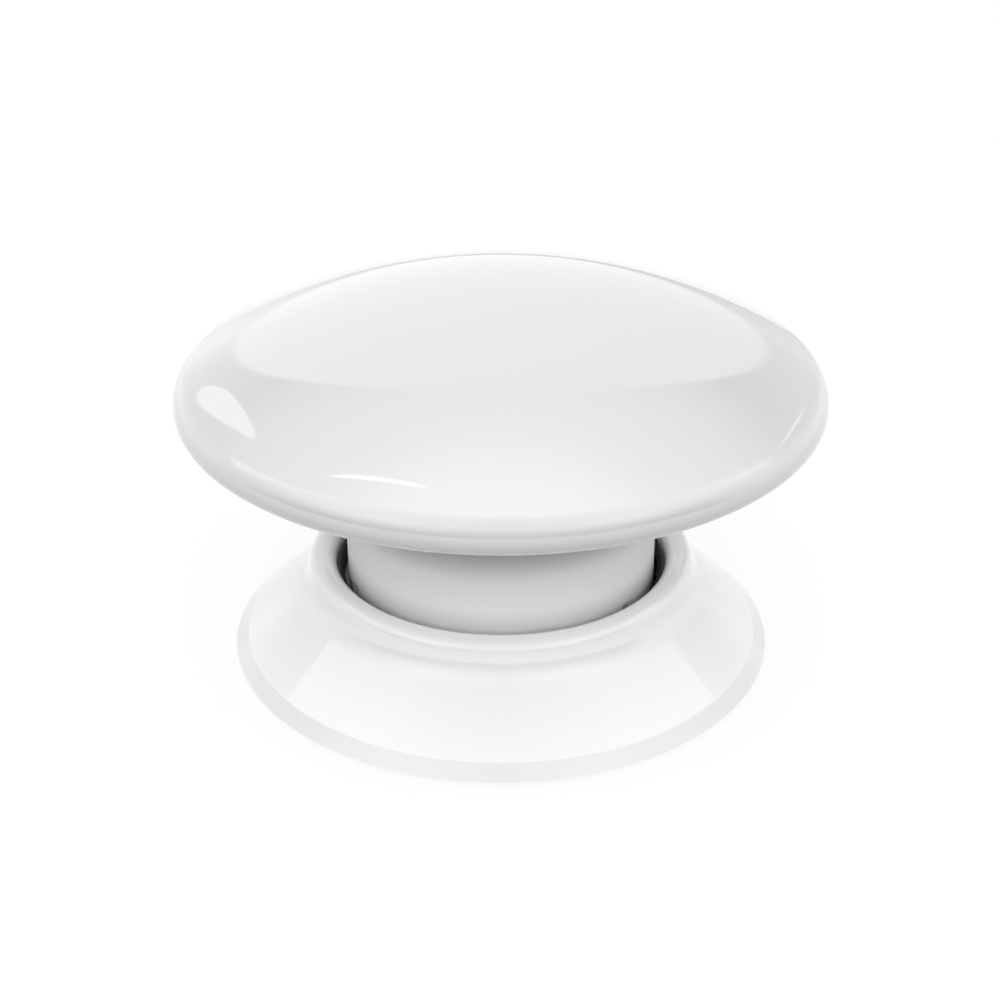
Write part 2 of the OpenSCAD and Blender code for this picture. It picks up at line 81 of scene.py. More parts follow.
def linear(code):
    """An sRGB hex value as the linear colour that a shader takes."""
    srgb = np.array([int(code[i : i + 2], 16) for i in (1, 3, 5)]) / 255
    return tuple(np.where(srgb <= 0.04045, srgb / 12.92, ((srgb + 0.055) / 1.055) ** 2.4))


def length(name, description, default):
    """A size in metres that a user may change."""
    return bpy.props.FloatProperty(
        name=name, description=description, default=default, min=0, precision=5, unit="LENGTH"
    )


def turn(name, description, degrees):
    """An angle that a user may change."""
    return bpy.props.FloatProperty(
        name=name, description=description, default=math.radians(degrees), subtype="ANGLE"
    )


def colour(name, description, code):
    """A colour that a user may change, given as an sRGB hex value."""
    return bpy.props.FloatVectorProperty(
        name=name, description=description, default=linear(code), min=0, max=1, subtype="COLOR"
    )


class ButtonSizes(bpy.types.PropertyGroup):
    """Sizes of the three shells that are seen, and of the pad and the spring."""

    cap_radius: length("Cap radius", "Radius of the cap at its widest ring", high("cap_dome", 0))
    crown: length("Crown", "Height of the cap's crown above the table", high("cap_dome"))
    dome_radius: length("Dome radius", "Radius of the dome's long curve", 47 * MM)
    shoulder_radius: length("Shoulder", "Rounding between the dome and the edge", 1.8 * MM)
    edge_radius: length("Edge", "Rounding between the edge and the underside", 1.25 * MM)
    shell: length("Shell", "Wall of the dome and of the pan below it", 1.5 * MM)
    skirt: length("Skirt", "Width of the cap's turned-under edge", 2 * MM)
    ledge: length("Ledge", "Rise of the dome's inner ledge over the widest ring", 0.2 * MM)
    bead: length("Bead", "Radius of the bead that snaps the dome to the pan", 0.3 * MM)
    bead_reach: length("Bead reach", "How far the bead stands out of the skirt", 0.2 * MM)
    bead_drop: length("Bead drop", "Depth of the bead below the widest ring", 0.55 * MM)
    fit_gap: length("Fit gap", "Clearance between parts that fit together", 0.1 * MM)
    pan_radius: length("Pan radius", "Radius of the pan that closes the cap", high("stem_shell", 0))
    pan_rim: length("Pan rim", "Thickness of the pan's rim", 1.4 * MM)
    boss_height: length("Boss height", "Height of the bosses that carry the board", 1 * MM)
    neck_radius: length("Neck radius", "Radius of the neck", 11.3 * MM)
    neck_wall: length("Neck wall", "Wall of the neck", 1.2 * MM)
    neck_fillet: length("Neck rounding", "Rounding between the neck and the pan", 1.2 * MM)
    neck_gap: length("Neck gap", "Open gap between the neck and the collar", 0.8 * MM)
    # Painted shade on the neck: the next four heights darken its colour under the cap and down in
    # the collar, standing in for the shade that falls there.
    painted_shade_top: length("Grey top", "Height at which the neck is greyest under the cap", 13.2 * MM)
    painted_shade_end: length("Grey end", "Height at which that grey has faded out", 10.3 * MM)
    painted_shade_foot: length("Grey foot", "Height at which the neck is greyest in the collar", 6.6 * MM)
    painted_shade_rise: length("Grey rise", "Height at which that grey has faded out", 8.6 * MM)
    web: length("Web", "Thickness of the web inside the neck that seats the spring", 1.2 * MM)
    web_hole: length("Web hole", "Radius of the hole in the web for the switch's post", 2.6 * MM)
    spring_collar: length("Spring collar", "Depth of the collar that centres the spring", 0.8 * MM)
    spring_play: length("Spring play", "Clearance between that collar and the spring", 0.6 * MM)
    catch_angle: turn("Catch", "Width of each catch on the neck's lower end", 36)
    catch_reach: length("Catch reach", "Reach of each catch beyond the neck", 0.9 * MM)
    catch_height: length("Catch height", "Height of each catch", 1 * MM)
    slit: length("Slit", "Width of the slits beside the catches", 0.9 * MM)
    slit_lead: turn("Slit lead", "Angle between a catch and the slit beside it", 4)
    slit_rise: length("Slit rise", "Reach of the slits above the retaining ring", 0.3 * MM)
    base_radius: length("Base radius", "Radius of the base at its foot", high("base_shell", 0))
    lip_radius: length("Lip", "Rounding of the collar's lip", 1 * MM)
    flare_radius: length("Flare", "Hollow rounding between the cone and the collar", 3 * MM)
    collar_lean: turn("Collar lean", "Lean of the collar's outer side", 5)
    rim_height: length("Rim height", "Height of the bevelled rim", 0.95 * MM)
    rim_bevel: length("Rim bevel", "Inset of the bevelled rim", 0.9 * MM)
    rim_edge: length("Rim edge", "Softened width on each side of the rim's upper edge", 0.06 * MM)
    base_wall: length("Base wall", "Wall of the flared base", 1.2 * MM)
    seat_wall: length("Seat wall", "Wall round the retaining ring", 0.8 * MM)
    flange: length("Flange", "Thickness of the floor's thin edge", 0.8 * MM)
    screw_radius: length("Screw", "Radius of the screws' shanks", 0.75 * MM)
    screw_head: length("Screw head", "Radius of the heads of the board's screws", 1.3 * MM)
    boss_wall: length("Boss wall", "Wall of the screws' bosses", 0.7 * MM)
    wire: length("Wire", "Diameter of the spring's wire", 0.7 * MM)
    pitch: length("Pitch", "Rise of the spring in each turn", 1.6 * MM)
    travel: length("Travel", "Travel of the button", 1.5 * MM)
    pad_round: length("Pad rounding", "Rounding of the foam pad's corners", 0.3 * MM)


class ButtonColours(bpy.types.PropertyGroup):
    """Colours of the shells, the pad and the table."""

    # Cap and base are one white plastic: the cap's tone is painted darker, as painted shade, and
    # the base's lighter, as painted light, to stand in for how light falls on each.
    cap: colour("Cap white", "Glossy shell of the cap", "#D8D8D8")
    base: colour("Base white", "Glossy shell of the base", "#FCFCFC")
    satin: colour("Satin white", "Satin neck and pan", "#F8F8F8")
    foam: colour("Foam", "Foam pad under the base", "#A9ABAE")
    floor: colour("Floor", "Table top under the button", "#8C8C8C")


class StudioSettings(bpy.types.PropertyGroup):
    """Camera and light."""

    distance: length("Distance", "From the button's axis to the camera, level", 125.3 * MM)
    height: length("Height", "Of the camera above the table", 77.75 * MM)
    pitch: turn("Pitch", "How far the camera looks down", 28.02)
    focal: bpy.props.FloatProperty(
        name="Focal length", description="In millimetres, on a 36 mm sensor", default=69.99, min=1
    )
    shift: bpy.props.FloatProperty(
        name="Shift", description="Of the picture sideways, as a share of its width", default=-0.001
    )
    table: length("Table", "Radius of the white table", 250 * MM)
    sheet: length("Sheet", "Thickness of the table's sheet", 0.1 * MM)
    tent: length("Tent", "Radius of the light tent", 900 * MM)


# Shapes: an outline is an array of (radius, height) points, and a shell is (points, faces)


def arc(centre, radius, start, end, steps):
    """Arc of a circle in the (radius, height) plane, from one angle to another, in degrees."""
    angle = np.radians(np.linspace(start, end, steps + 1))
    return np.asarray(centre) + radius * np.stack((np.cos(angle), np.sin(angle)), axis=1)


def clockwise(*runs):
    """One outline from runs of (radius, height) points, clockwise, with no point twice."""
    points = np.vstack([np.atleast_2d(run) for run in runs])
    step = np.linalg.norm(points - np.roll(points, 1, axis=0), axis=1)
    points = points[step > SAME]
    after = np.roll(points, -1, axis=0)
    area = np.sum(points[:, 0] * after[:, 1] - after[:, 0] * points[:, 1])
    return points[::-1] if area > 0 else points


def spin(outline, angles):
    """Grid of an outline turned about the upright axis: (r cos a, r sin a, z), outline by angle."""
    r, z = outline[:, :1], outline[:, 1:]
    return np.stack(np.broadcast_arrays(r * np.cos(angles), r * np.sin(angles), z), axis=2)


def quads(number):
    """Faces between neighbouring rows and columns of a grid of point numbers."""
    corners = (number[:-1, :-1], number[1:, :-1], number[1:, 1:], number[:-1, 1:])
    return np.stack(corners, axis=2).reshape(-1, 4)


def full_turn(columns=COLUMNS):
    """Angles of a full turn, the last one short of the first."""
    return np.linspace(0, 2 * math.pi, columns, endpoint=False)


def ring(outline, columns=COLUMNS):
    """A closed outline off the axis, turned a full turn."""
    points = spin(outline, full_turn(columns)).reshape(-1, 3)
    number = np.arange(len(points)).reshape(len(outline), columns)
    return points, quads(np.pad(number, ((0, 1), (0, 1)), mode="wrap")).tolist()


def disc(outline, columns=COLUMNS):
    """An outline from axis to axis, turned a full turn, with a fan of triangles at each pole."""
    body = spin(outline[1:-1], full_turn(columns)).reshape(-1, 3)
    number = np.arange(len(body)).reshape(-1, columns)
    number = np.pad(number, ((0, 0), (0, 1)), mode="wrap")
    poles = np.array([[0, 0, outline[0, 1]], [0, 0, outline[-1, 1]]])
    first = np.full(columns, len(body))
    top = np.stack((first, number[0, :-1], number[0, 1:]), axis=1)
    foot = np.stack((first + 1, number[-1, 1:], number[-1, :-1]), axis=1)
    return np.vstack((body, poles)), quads(number).tolist() + top.tolist() + foot.tolist()


def wedge(outline, start, end, columns):
    """A closed outline turned part of a turn, with its two ends capped. Angles in degrees."""
    points = spin(outline, np.radians(np.linspace(start, end, columns + 1))).reshape(-1, 3)
    number = np.arange(len(points)).reshape(len(outline), columns + 1)
    sides = quads(np.vstack((number, number[:1]))).tolist()
    return points, sides + [number[::-1, 0].tolist(), number[:, -1].tolist()]


def slit_ring(outline, top, slits, half_width):
    """A ring as above, with slits cut through its wall from below up to a height.

    The grid's columns include both edges of each slit; its faces there and below the top are left
    out, and each slit gets a roof across the wall and the two cut ends of the wall.
    """
    edges = np.radians(np.add.outer(slits, (-half_width, half_width)).ravel())
    angles = np.unique(np.round(np.concatenate((full_turn(), edges % (2 * math.pi))), 9))
    points = spin(outline, angles).reshape(-1, 3)
    rows, columns = len(outline), len(angles)
    number = np.pad(np.arange(rows * columns).reshape(rows, columns), ((0, 1), (0, 1)), mode="wrap")
    middle = np.degrees(angles + np.diff(np.append(angles, angles[0] + 2 * math.pi)) / 2)
    away = np.abs((np.subtract.outer(middle, slits) + 180) % 360 - 180)
    in_slit = (away < half_width).any(axis=1)
    height = outline[:, 1]
    below = (height < top + SAME) & (np.roll(height, -1) < top + SAME)
    keep = ~np.logical_and.outer(below, in_slit).ravel()
    wall = np.flatnonzero(np.abs(height - top) < SAME)
    outer, inner = wall[np.argsort(-outline[wall, 0])][:2]
    cut = np.flatnonzero(in_slit)
    roof = np.stack(
        (number[outer, cut], number[inner, cut], number[inner, cut + 1], number[outer, cut + 1]),
        axis=1,
    )
    section = np.arange(min(outer, inner), max(outer, inner) + 1)
    starts = cut[~in_slit[cut - 1]]
    stops = cut[~in_slit[(cut + 1) % columns]] + 1
    ends = number[section][:, starts].T.tolist() + number[section[::-1]][:, stops].T.tolist()
    return points, quads(number)[keep].tolist() + roof[:, ::-1].tolist() + ends


def placed(shell, radius, degrees):
    """A shell moved to a place on a circle about the axis."""
    points, faces = shell
    angle = math.radians(degrees)
    return points + radius * np.array([math.cos(angle), math.sin(angle), 0]), faces


def joined(shells):
    """Several shells as one."""
    starts = np.cumsum([0] + [len(points) for points, _ in shells[:-1]])
    faces = [[start + i for i in face] for start, (_, some) in zip(starts, shells) for face in some]
    return np.vstack([points for points, _ in shells]), faces


def coil(radius, wire, start, end, turns, per_turn=48, sides=14):
    """A helix of round wire: circles square to the axis's half-plane, carried round and up."""
    along = np.linspace(0, 1, round(turns * per_turn) + 1)[:, None]
    round_wire = full_turn(sides)[None, :]
    angle = 2 * math.pi * turns * along
    r = radius + wire / 2 * np.cos(round_wire)
    z = start + (end - start) * along + wire / 2 * np.sin(round_wire)
    grid = np.stack(np.broadcast_arrays(r * np.cos(angle), r * np.sin(angle), z), axis=2)
    number = np.arange(grid.shape[0] * sides).reshape(-1, sides)
    skin = quads(np.pad(number, ((0, 0), (0, 1)), mode="wrap"))
    return grid.reshape(-1, 3), skin.tolist() + [number[0].tolist(), number[-1, ::-1].tolist()]


def mesh_object(name, shell, material):
    """A shell as a smooth object with its sharp edges kept."""
    points, faces = shell
    mesh = bpy.data.meshes.new(name)
    mesh.from_pydata(points.tolist(), [], faces)
    if mesh.validate():
        raise RuntimeError(f"{name} has faces that don't hold together")
    mesh.polygons.foreach_set("use_smooth", np.ones(len(mesh.polygons), bool))
    mesh.set_sharp_from_angle(angle=SHARP_ANGLE)
    mesh.materials.append(material)
    made = bpy.data.objects.new(name, mesh)
    bpy.context.scene.collection.objects.link(made)
    return made


def piece(name, shell, material, body, solid):
    """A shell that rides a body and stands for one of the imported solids."""
    made = mesh_object(name, shell, material)
    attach(made, body)
    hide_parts(solid)
    return made


class Cap:
    """Curves of the cap that its dome and its pan share, worked out from the driving sizes."""

    def __init__(self, s):
        self.dome_z = s.crown - s.dome_radius
        flank = s.dome_radius - s.shoulder_radius
        self.shoulder_x = s.cap_radius - s.shoulder_radius
        self.equator = self.dome_z + math.sqrt(flank**2 - self.shoulder_x**2)
        self.tangent = math.degrees(math.atan2(self.equator - self.dome_z, self.shoulder_x))
        self.brim = self.equator - s.edge_radius
        self.skirt_x = s.cap_radius - s.skirt
        self.ledge = self.equator + s.ledge
        self.bead = (self.skirt_x + s.bead - s.bead_reach, self.equator - s.bead_drop)


class BUTTON_OT_cap(bpy.types.Operator):
    """Glossy top of the cap: a lens whose long dome runs into a tight shoulder and turns under."""

    bl_idname = "button.cap"
    bl_label = "Cap dome"

    def execute(self, context):
        s, cap = context.scene.button_sizes, Cap(context.scene.button_sizes)
        dome = (0, cap.dome_z)
        inner_radius = s.dome_radius - s.shell
        inner_x = cap.skirt_x - s.pan_rim - s.fit_gap
        inner_turn = math.degrees(math.acos(inner_x / inner_radius))
        bead_turn = math.degrees(math.acos((cap.skirt_x - cap.bead[0]) / s.bead))
        outline = np.vstack((
            arc(dome, s.dome_radius, 90, cap.tangent, 56),
            arc((cap.shoulder_x, cap.equator), s.shoulder_radius, cap.tangent, 0, 40)[1:],
            arc((s.cap_radius - s.edge_radius, cap.equator), s.edge_radius, 0, -90, 20)[1:],
            [(cap.skirt_x, cap.brim)],
            arc(cap.bead, s.bead, 360 - bead_turn, bead_turn, 10),
            [(cap.skirt_x, cap.ledge), (inner_x, cap.ledge)],
            arc(dome, inner_radius, inner_turn, 90, 24),
        ))
        # The cap's white is the painted-shade copy of the white that cap and base share.
        finish = gloss_white("polished_abs_shaded_copy", context.scene.button_colours.cap)
        piece("cap_dome_gloss", disc(outline), finish, "head", "cap_dome")
        return {"FINISHED"}


class BUTTON_OT_neck(bpy.types.Operator):
    """Satin pan under the cap and the neck, with its web, its catches and the board's bosses."""

    bl_idname = "button.neck"
    bl_label = "Pan and neck"

    def execute(self, context):
        s, cap = context.scene.button_sizes, Cap(context.scene.button_sizes)
        boss_x = high("board_screws", 0) - s.screw_head
        pan_low = low("circuit_board") - s.boss_height - s.shell
        fall = (cap.brim - pan_low) / (s.pan_radius - boss_x)
        slope = math.degrees(math.atan(fall))
        bore = s.neck_radius - s.neck_wall
        foot = low("stem_shell")
        slit_top = high("retaining_ring") + s.slit_rise
        web_low = high("return_spring") + s.wire / 2 * (1 - math.sqrt(3) / 2)

        def pan(radius):
            return cap.brim - (s.pan_radius - radius) * fall

        round_x = s.neck_radius + s.neck_fillet
        round_c = (round_x, pan(round_x) - s.neck_fillet / math.cos(math.radians(slope)))
        groove_radius = s.bead + s.fit_gap
        groove_turn = math.degrees(math.acos((s.pan_radius - cap.bead[0]) / groove_radius))
        rim_top = high("stem_shell")
        rim_x = s.pan_radius - s.pan_rim
        collar_out = high("return_spring", 0) - s.wire - s.spring_play
        collar_in = collar_out - s.web
        outline = clockwise(
            (bore, slit_top), (bore, foot), (s.neck_radius, foot), (s.neck_radius, slit_top),
            arc(round_c, s.neck_fillet, 180, 90 + slope, 12),
            (s.pan_radius, cap.brim),
            arc(cap.bead, groove_radius, 360 - groove_turn, groove_turn, 10),
            (s.pan_radius, rim_top), (rim_x, rim_top), (rim_x, pan(rim_x) + s.shell),
            (bore, pan(bore) + s.shell), (bore, web_low + s.web), (s.web_hole, web_low + s.web),
            (s.web_hole, web_low), (collar_in, web_low), (collar_in, web_low - s.spring_collar),
            (collar_out, web_low - s.spring_collar), (collar_out, web_low), (bore, web_low),
        )
        half_catch = math.degrees(s.catch_angle) / 2
        half_slit = math.degrees(s.slit / 2 / s.neck_radius)
        lead = half_catch + math.degrees(s.slit_lead)
        slits = np.add.outer(CATCH_TURNS, (-lead, lead)).ravel()
        sunk = s.neck_radius - s.neck_wall / 2
        catch = clockwise(
            (sunk, foot), (s.neck_radius + s.catch_reach / 3, foot),
            (s.neck_radius + s.catch_reach, foot + s.catch_height / 2),
            (s.neck_radius + s.catch_reach, foot + s.catch_height), (sunk, foot + s.catch_height),
        )
        boss_out = s.screw_radius + s.boss_wall
        boss = ring(clockwise(
            (s.screw_radius, pan_low + s.shell / 2), (boss_out, pan_low + s.shell / 2),
            (boss_out, low("circuit_board")), (s.screw_radius, low("circuit_board")),
        ), BOSS_COLUMNS)
        shells = [slit_ring(outline, slit_top, slits, half_slit)]
        shells += [wedge(catch, a - half_catch, a + half_catch, 16) for a in CATCH_TURNS]
        shells += [placed(boss, boss_x, a) for a in THIRDS]
        # Painted shade: the neck and the pan above it are darkened to 0.55 of their colour from the
        # top height up, fading out down to the end height, and to 0.72 from the foot height down,
        # fading out by the rise height.
        shade_left_under_cap, shade_left_in_collar = 0.55, 0.72
        painted_shades = [(s.painted_shade_top, s.painted_shade_end, shade_left_under_cap), (s.painted_shade_foot, s.painted_shade_rise, shade_left_in_collar)]
        finish = satin_white(painted_shades)
        piece("pan_and_neck", joined(shells), finish, "head", "stem_shell")
        return {"FINISHED"}


class BUTTON_OT_base(bpy.types.Operator):
    """Glossy flared base: bevelled rim, cone, hollow rounding and the rolled lip of the collar."""

    bl_idname = "button.base"
    bl_label = "Flared base"

    def execute(self, context):
        s = context.scene.button_sizes
        foot, crest = low("base_shell"), high("base_shell")
        floor = low("bumper_ring")
        hole = s.neck_radius + s.neck_gap
        lip = np.array((hole + s.lip_radius, crest - s.lip_radius))
        lean = math.degrees(s.collar_lean)
        flare = arc(lip, s.lip_radius + s.flare_radius, lean, lean, 0)[0]
        rim = np.array((s.base_radius - s.rim_bevel, foot + s.rim_height))
        reach = np.linalg.norm(flare - rim)
        climb = math.atan2(*(flare - rim)[::-1]) + math.asin(s.flare_radius / reach)
        along = np.array((math.cos(climb), math.sin(climb)))
        outward = np.array((math.sin(climb), -math.cos(climb)))
        cone_top = rim + math.sqrt(reach**2 - s.flare_radius**2) * along
        inner = rim - s.base_wall * outward
        inner_top = (cone_top - s.base_wall * outward)[1]

        def inner_x(height):
            return inner[0] + (height - inner[1]) / math.tan(climb)

        touch = math.degrees(math.atan2(*(cone_top - flare)[::-1])) % 360
        seat_x, seat_top = high("retaining_ring", 0) + s.fit_gap / 2, high("retaining_ring")
        wall_x = seat_x + s.seat_wall
        bevel = (rim - (s.base_radius, foot)) / np.linalg.norm(rim - (s.base_radius, foot))
        outline = clockwise(
            (s.base_radius, foot), rim - s.rim_edge * bevel, rim, rim + s.rim_edge * along,
            arc(flare, s.flare_radius, touch, 180 + lean, 40),
            arc(lip, s.lip_radius, lean, 180, 48),
            (hole, seat_top), (seat_x, seat_top), (seat_x, floor), (wall_x, floor),
            (wall_x, inner_top), (inner_x(inner_top), inner_top), (inner_x(floor), floor),
            (inner_x(floor), foot + s.flange), (inner_x(foot + s.flange), foot + s.flange),
            (inner_x(foot + s.flange), foot),
        )
        boss_out = s.screw_radius + s.boss_wall
        boss_x = wall_x + s.screw_radius
        boss_top = inner_top - s.boss_wall
        boss = ring(clockwise(
            (s.screw_radius, floor), (boss_out, floor),
            (boss_out, boss_top), (s.screw_radius, boss_top),
        ), BOSS_COLUMNS)
        shells = [ring(outline)] + [placed(boss, boss_x, a) for a in THIRDS]
        # Painted shade: the bevelled rim and everything below its upper edge are darkened to this
        # share of the base's colour.
        rim_shade_left = 0.88
        painted_shades = [(rim[1] - s.rim_edge / 2, rim[1], rim_shade_left)]
        # The base's white is the painted-light copy of the white that cap and base share.
        finish = gloss_white("polished_abs_lit_copy", context.scene.button_colours.base, painted_shades)
        piece("base_flare_gloss", joined(shells), finish, "base", "base_shell")
        return {"FINISHED"}


class BUTTON_OT_pad(bpy.types.Operator):
    """Foam pad under the base, with its cut corners softened."""

    bl_idname = "button.pad"
    bl_label = "Foam pad"

    def execute(self, context):
        s = context.scene.button_sizes
        radius, foot, top = high("foot_pad", 0), low("foot_pad"), high("foot_pad")
        soft = s.pad_round
        outline = np.vstack((
            (0, top), arc((radius - soft, top - soft), soft, 90, 0, 8),
            arc((radius - soft, foot + soft), soft, 0, -90, 8), (0, foot),
        ))
        pad = piece("foam_pad", disc(outline, 120), cell_foam(), "base", "foot_pad")
        return {"FINISHED"}


class BUTTON_OT_spring(bpy.types.Operator):
    """Return spring: a helix of drawn wire at the imported spring's length; pressed, it shortens.
    """

    bl_idname = "button.spring"
    bl_label = "Return spring"

    def execute(self, context):
        s = context.scene.button_sizes
        edge = s.wire / 2 * math.sqrt(3) / 2
        start, end = low("return_spring") + edge, high("return_spring") - edge
        radius = high("return_spring", 0) - s.wire / 2
        shell = coil(radius, s.wire, start, end, (end - start) / s.pitch)
        spring = piece("return_coil", shell, drawn_wire(), "base", "return_spring")
        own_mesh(spring)
        return {"FINISHED"}


# Finishes


def node(tree, kind, values=(), links=(), **settings):
    """Adds a node: settings are its options, values its plain inputs, links its linked ones."""
    made = tree.nodes.new(kind)
    for key, value in settings.items():
        setattr(made, key, value)
    for key, value in dict(values).items():
        made.inputs[key].default_value = value
    for key, source in dict(links).items():
        tree.links.new(source, made.inputs[key])
    return made


def blank(name):
    """A new material with an empty node tree."""
    material = bpy.data.materials.new(name)
    material.use_nodes = True
    material.node_tree.nodes.clear()
    return material, material.node_tree


def grained(
    name, shade, tint, grain_mm, rough, bump_mm=0.0, stretch=(1, 1, 1), shader=(), shade_falls=()
):
    """A solid material whose colour, roughness and relief follow one grain of a real size.

    Colour runs from shade to tint, and roughness over its two values, with the grain. stretch
    draws the grain out along an axis, as brushing or drawing does. Each fall is painted shade: a
    pair of heights and the share of the colour that is left at the first; at the second it is
    whole.
    """
    material, tree = blank(name)
    where = node(tree, "ShaderNodeTexCoord")
    drawn = node(tree, "ShaderNodeMapping", {"Scale": stretch}, {"Vector": where.outputs["Object"]})
    grain = node(
        tree, "ShaderNodeTexNoise", {"Scale": 1 / (grain_mm * MM), "Detail": 3},
        {"Vector": drawn.outputs["Vector"]},
    ).outputs["Fac"]
    tone = node(
        tree, "ShaderNodeMix", {6: (*shade, 1), 7: (*tint, 1)}, {0: grain}, data_type="RGBA"
    ).outputs[2]
    # Painted shade: each fall darkens the colour by height.
    for start, end, left in shade_falls:
        height = node(tree, "ShaderNodeSeparateXYZ", links={"Vector": where.outputs["Object"]})
        share = node(
            tree, "ShaderNodeMapRange", {"From Min": start, "From Max": end, "To Min": left},
            {"Value": height.outputs["Z"]}, interpolation_type="SMOOTHSTEP",
        )
        tone = node(
            tree, "ShaderNodeVectorMath", links={0: tone, "Scale": share.outputs["Result"]},
            operation="SCALE",
        ).outputs["Vector"]
    polish = node(
        tree, "ShaderNodeMapRange", {"To Min": rough[0], "To Max": rough[1]}, {"Value": grain}
    )
    skin = node(
        tree, "ShaderNodeBsdfPrincipled", shader,
        {"Base Color": tone, "Roughness": polish.outputs["Result"]},
    )
    if bump_mm:
        relief = node(tree, "ShaderNodeBump", {"Distance": bump_mm * MM}, {"Height": grain})
        tree.links.new(relief.outputs["Normal"], skin.inputs["Normal"])
    node(tree, "ShaderNodeOutputMaterial", links={"Surface": skin.outputs["BSDF"]})
    return material


def darker(tone, share):
    """A linear colour brought down by a share."""
    return tuple(np.asarray(tone) * (1 - share))


def gloss_white(name, tone, shade_falls=()):
    """White ABS under clear lacquer: two mirrors over white, the lower one with a faint swim."""
    lacquer = {"IOR": 1.53, "Coat Weight": 1, "Coat IOR": 1.6, "Coat Roughness": 0.02}
    # Any falls given paint shade onto the colour by height.
    return grained(name, darker(tone, 0.01), tone, 6, (0.035, 0.06), shader=lacquer, shade_falls=shade_falls)


def satin_white(shade_falls):
    """White ABS from a spark-eroded mould: a fine grain that spreads the gloss to a soft sheen."""
    tone = bpy.context.scene.button_colours.satin
    # The falls given paint shade onto the colour by height.
    return grained(
        "satin_white_abs", darker(tone, 0.03), tone, 0.12, (0.36, 0.46), 0.004,
        shader={"IOR": 1.53}, shade_falls=shade_falls,
    )


def cell_foam():
    """Closed-cell foam: a grey skin pitted with cut cells a third of a millimetre across."""
    tone = bpy.context.scene.button_colours.foam
    return grained("closed_cell_foam", darker(tone, 0.35), tone, 0.3, (0.8, 0.95), 0.08)


def drawn_wire():
    """Drawn spring steel: bright metal with fine lines."""
    return grained(
        "drawn_spring_steel", linear("#A9ABB0"), linear("#C9CBD0"), 0.15, (0.22, 0.4), 0.002,
        shader={"Metallic": 1},
    )


# Name, shade and tint, grain in mm, roughness, relief in mm, stretch, shader and solids of each
INNER_FINISHES = (
    # Satin moulded floor: the spark-eroded grain again, a shade cooler
    ("satin_white_floor", "#E2E2E4", "#ECECEE", 0.15, (0.4, 0.5), 0.004, (1, 1, 1),
     {"IOR": 1.53}, ("base_plate",)),
    # Zinc-plated screws: pale metal with a cloudy plating
    ("zinc_plated_steel", "#A7ABB1", "#C6C9CD", 0.4, (0.25, 0.42), 0.002, (1, 1, 1),
     {"Metallic": 1}, ("base_screws", "board_screws")),
    # Black acetal: dull, waxy and almost even
    ("black_acetal", "#141416", "#1E1E21", 0.3, (0.4, 0.55), 0.003, (1, 1, 1),
     {"IOR": 1.48}, ("retaining_ring", "cell_holder", "switch_body")),
    # Moulded rubber: black with no shine
    ("moulded_rubber", "#111112", "#1B1B1C", 0.25, (0.75, 0.9), 0.006, (1, 1, 1),
     {"IOR": 1.5}, ("bumper_ring",)),
    # Solder mask over copper: deep green with lighter lanes where tracks run below
    ("green_solder_mask", "#0B3A20", "#17603A", 1.2, (0.22, 0.4), 0.01, (1, 0.15, 1),
     {"IOR": 1.55}, ("circuit_board",)),
    # Nickel-plated cell can: bright, with a turned grain
    ("nickel_plated_can", "#B4B4B2", "#D2D2CF", 0.35, (0.18, 0.32), 0.001, (0.2, 1, 1),
     {"Metallic": 1}, ("coin_cell",)),
    # Plated brass strip: warm metal with a rolled grain
    ("plated_brass_strip", "#A8863C", "#D6B45E", 0.3, (0.22, 0.36), 0.001, (0.15, 1, 1),
     {"Metallic": 1}, ("contact_positive", "contact_negative", "antenna")),
    # Tinned steel cans: pale and a little frosted
    ("tinned_steel", "#B7B9BB", "#D6D8DA", 0.5, (0.25, 0.4), 0.001, (1, 0.3, 1),
     {"Metallic": 1}, ("radio_module", "crystal", "switch_cover", "switch_leads")),
    # Moulded epoxy: black and dry, with a fine grain
    ("moulded_epoxy", "#0D0D0E", "#171718", 0.1, (0.5, 0.65), 0.003, (1, 1, 1),
     {"IOR": 1.5}, ("microcontroller", "resistors", "switch_stem")),
    # Clear lens over a pale phosphor
    ("phosphor_lens", "#E6DDB0", "#F4EFD2", 0.3, (0.12, 0.2), 0, (1, 1, 1),
     {"IOR": 1.5}, ("status_led",)),
    # Fired ceramic with tinned ends: tan and matte
    ("fired_ceramic", "#8A6B4C", "#A98A66", 0.2, (0.45, 0.6), 0.002, (1, 1, 1),
     {"IOR": 1.6}, ("capacitors",)),
)


class BUTTON_OT_inner_finishes(bpy.types.Operator):
    """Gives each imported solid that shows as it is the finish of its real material."""

    bl_idname = "button.inner_finishes"
    bl_label = "Inner finishes"

    def execute(self, context):
        for name, shade, tint, grain, rough, relief, stretch, shader, solids in INNER_FINISHES:
            material = grained(
                name, linear(shade), linear(tint), grain, rough, relief, stretch, shader
            )
            for solid in solids:
                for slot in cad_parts[solid].material_slots:
                    slot.link = "OBJECT"
                    slot.material = material
        return {"FINISHED"}


# Studio


SENSOR = 36  # millimetres across
NEAR = 5 * MM
WINDOW = 0.45  # metres behind the button
CEILING = 0.65  # metres above the table
FAR = 0.6  # metres from the front of the dome
DOME_FRONT = np.array((0, -10, 25)) * MM


def aim(azimuth, elevation):
    """Point far from the front of the dome: azimuth is 0 straight behind, in degrees."""
    a, e = math.radians(azimuth), math.radians(elevation)
    way = np.array((math.cos(e) * math.sin(a), math.cos(e) * math.cos(a), math.sin(e)))
    return DOME_FRONT + FAR * way


